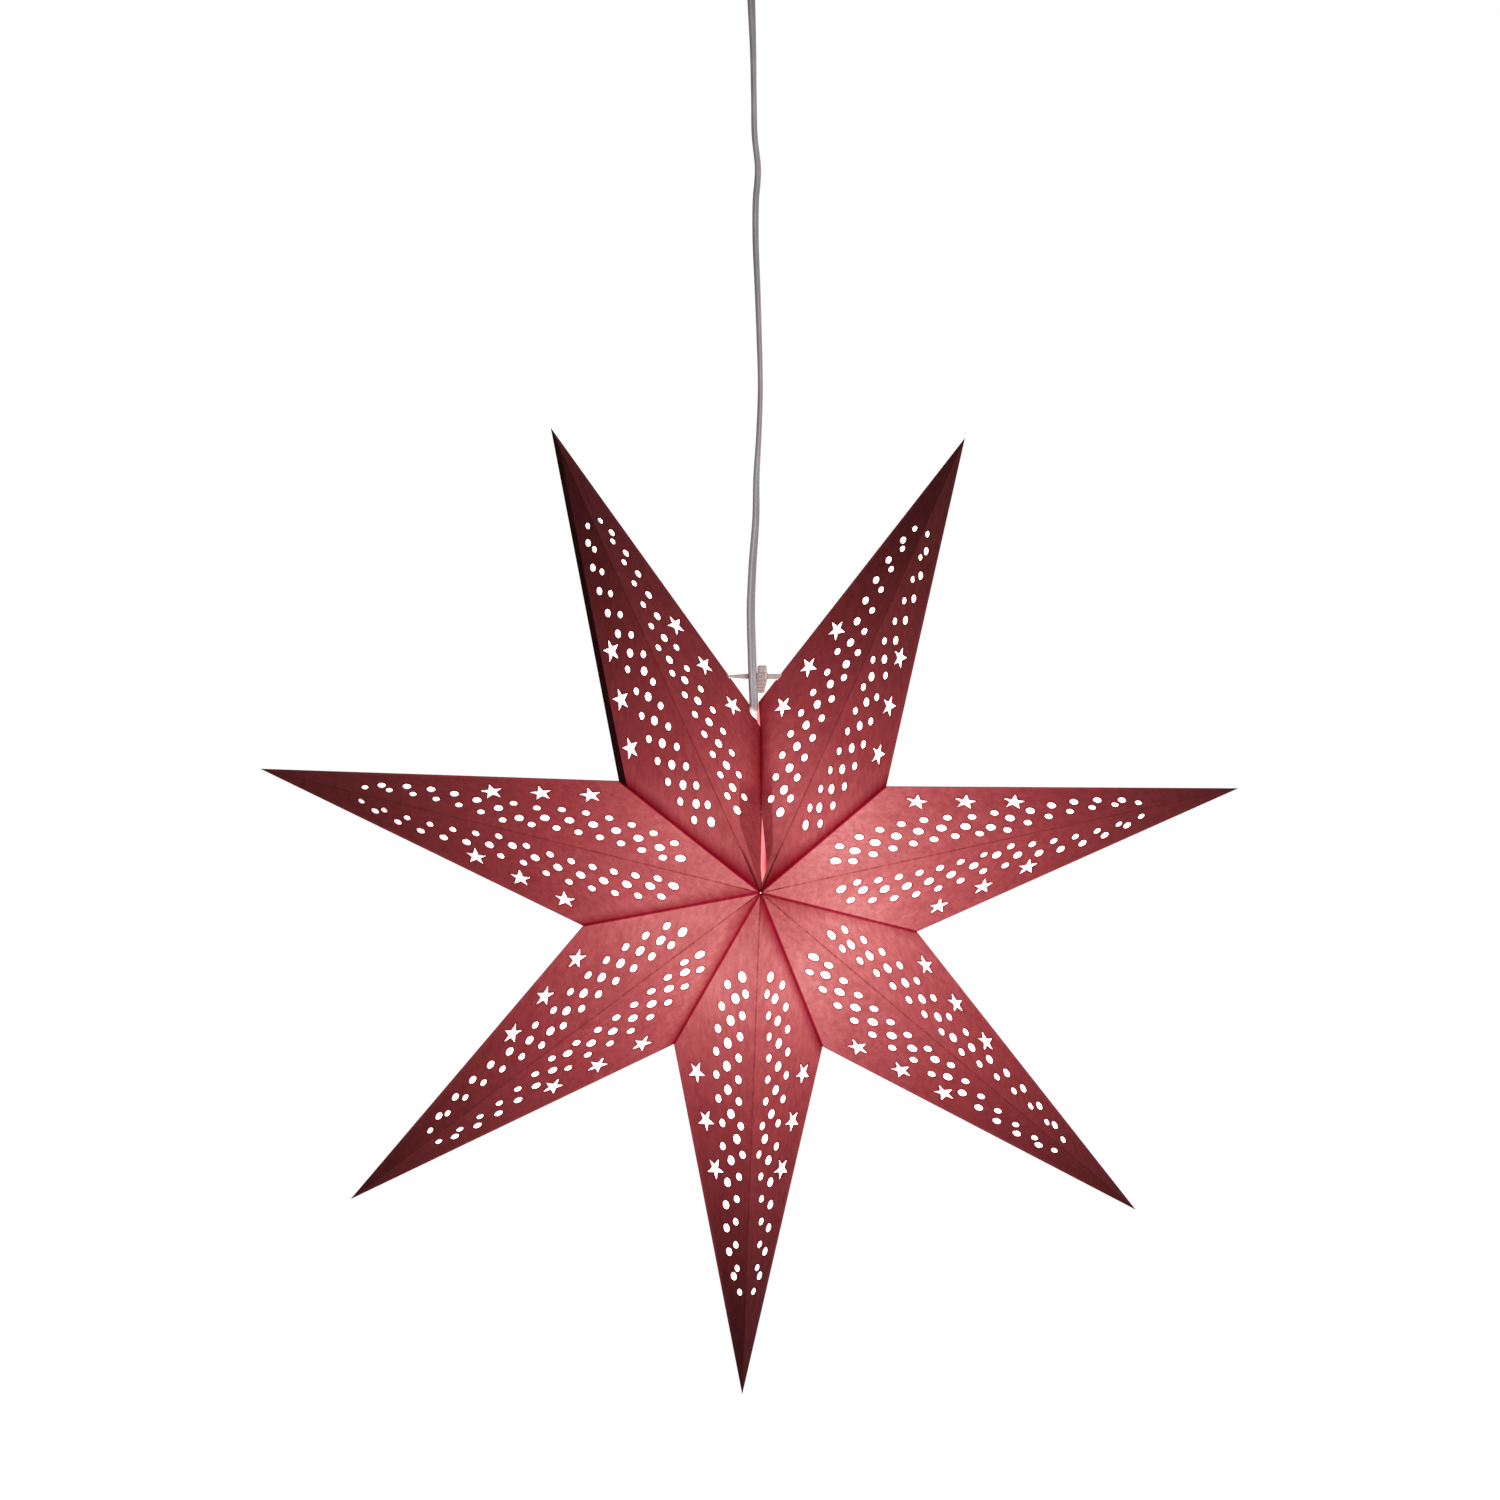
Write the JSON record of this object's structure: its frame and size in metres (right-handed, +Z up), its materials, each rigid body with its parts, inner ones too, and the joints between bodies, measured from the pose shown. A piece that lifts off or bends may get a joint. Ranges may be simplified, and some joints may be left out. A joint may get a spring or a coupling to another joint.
{
  "type": "paper star lantern",
  "caption": "Folding paper star lantern with punched panels, clipped to a flat cord over a lampholder and globe bulb, with a ceiling cup at the top of the cord.",
  "frame": {"origin": "centre of the ceiling plate's flat top face, against the ceiling", "axes": "+Z up out of the ceiling face, the star's front faces -Y, +X to the right as seen from the front"},
  "size_m": [0.5815, 0.1442, 0.8832],
  "materials": {
    "red_paper": "matt uncoated paper, lit from inside",
    "clear_plastic": "clear moulded plastic",
    "white_plastic": "moulded plastic",
    "cord_sheath": "flexible clear sheath over grey cores",
    "steel": "zinc plated",
    "brass": "plain",
    "nickel": "nickel plated",
    "aluminium": "board",
    "black_glass": "glass insulator",
    "opal_plastic": "opal diffuser, lit"
  },
  "bodies": {
    "ceiling": {"ceiling_plate": "white_plastic", "ceiling_hook": "steel", "cord_anchor": "white_plastic", "anchor_screw_upper": "brass", "anchor_screw_lower": "brass", "terminal_block": "white_plastic", "terminal_screw_upper_left": "brass", "terminal_screw_upper_right": "brass", "terminal_screw_lower_left": "brass", "terminal_screw_lower_right": "brass", "core_lead_front": "cord_sheath", "core_lead_back": "cord_sheath"},
    "cup": {"ceiling_cup": "white_plastic", "cup_grip": "white_plastic", "grip_screw": "white_plastic"},
    "pendant": {"cord": "cord_sheath", "holder_cap": "white_plastic", "collar_screw": "white_plastic", "holder_body": "white_plastic", "holder_insert": "white_plastic", "holder_shell": "brass", "centre_contact": "brass"},
    "bulb": {"bulb_cap": "nickel", "bulb_insulator": "black_glass", "bulb_tip": "nickel", "bulb_housing": "white_plastic", "led_board": "aluminium", "bulb_globe": "opal_plastic"},
    "bottom_point": {"bottom_point_front_left": "red_paper", "bottom_point_front_right": "red_paper", "bottom_point_back_left": "red_paper", "bottom_point_back_right": "red_paper", "clip_crossbar": "clear_plastic", "clip_wedge": "clear_plastic"},
    "top_right_point": {"top_right_point_front_left": "red_paper", "top_right_point_front_right": "red_paper", "top_right_point_back_left": "red_paper", "top_right_point_back_right": "red_paper"},
    "right_point": {"right_point_front_left": "red_paper", "right_point_front_right": "red_paper", "right_point_back_left": "red_paper", "right_point_back_right": "red_paper"},
    "lower_right_point": {"lower_right_point_front_left": "red_paper", "lower_right_point_front_right": "red_paper", "lower_right_point_back_left": "red_paper", "lower_right_point_back_right": "red_paper"},
    "lower_left_point": {"lower_left_point_front_left": "red_paper", "lower_left_point_front_right": "red_paper", "lower_left_point_back_left": "red_paper", "lower_left_point_back_right": "red_paper"},
    "left_point": {"left_point_front_left": "red_paper", "left_point_front_right": "red_paper", "left_point_back_left": "red_paper", "left_point_back_right": "red_paper"},
    "top_left_point": {"top_left_point_front_left": "red_paper", "top_left_point_front_right": "red_paper", "top_left_point_back_left": "red_paper", "top_left_point_back_right": "red_paper"}
  },
  "joints": [
    {"name": "cup_slide", "type": "slide", "parent": "ceiling", "child": "cup", "axis": [0, 0, -1], "range_m": [0, 0.06], "deforming": ["cord"]},
    {"name": "pendant_turn", "type": "hinge", "parent": "ceiling", "child": "pendant", "pos_m": [0, 0, -0.036], "axis": [0, 0, 1], "range_deg": [-180, 180]},
    {"name": "bulb_screw", "type": "hinge", "parent": "pendant", "child": "bulb", "pos_m": [0, 0, -0.543], "axis": [0, 0, 1], "range_deg": [0, 1440]},
    {"name": "star_height", "type": "slide", "parent": "pendant", "child": "bottom_point", "axis": [0, 0, 1], "range_m": [-0.01, 0.03], "deforming": ["cord"]},
    {"name": "lower_right_point_fold", "type": "hinge", "parent": "bottom_point", "child": "lower_right_point", "pos_m": [0, 0, -0.585], "axis": [0, 1, 0], "range_deg": [0, 49.4], "deforming": ["lower_right_point_front_left", "lower_right_point_front_right", "lower_right_point_back_left", "lower_right_point_back_right", "bottom_point_front_left", "bottom_point_front_right", "bottom_point_back_left", "bottom_point_back_right"]},
    {"name": "right_point_fold", "type": "hinge", "parent": "lower_right_point", "child": "right_point", "pos_m": [0, 0, -0.585], "axis": [0, 1, 0], "range_deg": [0, 49.4], "deforming": ["right_point_front_left", "right_point_front_right", "right_point_back_left", "right_point_back_right"]},
    {"name": "top_right_point_fold", "type": "hinge", "parent": "right_point", "child": "top_right_point", "pos_m": [0, 0, -0.585], "axis": [0, 1, 0], "range_deg": [0, 49.4], "deforming": ["top_right_point_front_left", "top_right_point_front_right", "top_right_point_back_left", "top_right_point_back_right"]},
    {"name": "lower_left_point_fold", "type": "hinge", "parent": "bottom_point", "child": "lower_left_point", "pos_m": [0, 0, -0.585], "axis": [0, -1, 0], "range_deg": [0, 49.4], "deforming": ["lower_left_point_front_left", "lower_left_point_front_right", "lower_left_point_back_left", "lower_left_point_back_right"]},
    {"name": "left_point_fold", "type": "hinge", "parent": "lower_left_point", "child": "left_point", "pos_m": [0, 0, -0.585], "axis": [0, -1, 0], "range_deg": [0, 49.4], "deforming": ["left_point_front_left", "left_point_front_right", "left_point_back_left", "left_point_back_right"]},
    {"name": "top_left_point_fold", "type": "hinge", "parent": "left_point", "child": "top_left_point", "pos_m": [0, 0, -0.585], "axis": [0, -1, 0], "range_deg": [0, 49.4], "deforming": ["top_left_point_front_left", "top_left_point_front_right", "top_left_point_back_left", "top_left_point_back_right"]}
  ],
  "couplings": [
    {"joint": "top_right_point_fold", "follows": "lower_right_point_fold", "ratio": 1},
    {"joint": "right_point_fold", "follows": "lower_right_point_fold", "ratio": 1},
    {"joint": "lower_left_point_fold", "follows": "lower_right_point_fold", "ratio": 1},
    {"joint": "left_point_fold", "follows": "lower_right_point_fold", "ratio": 1},
    {"joint": "top_left_point_fold", "follows": "lower_right_point_fold", "ratio": 1}
  ]
}
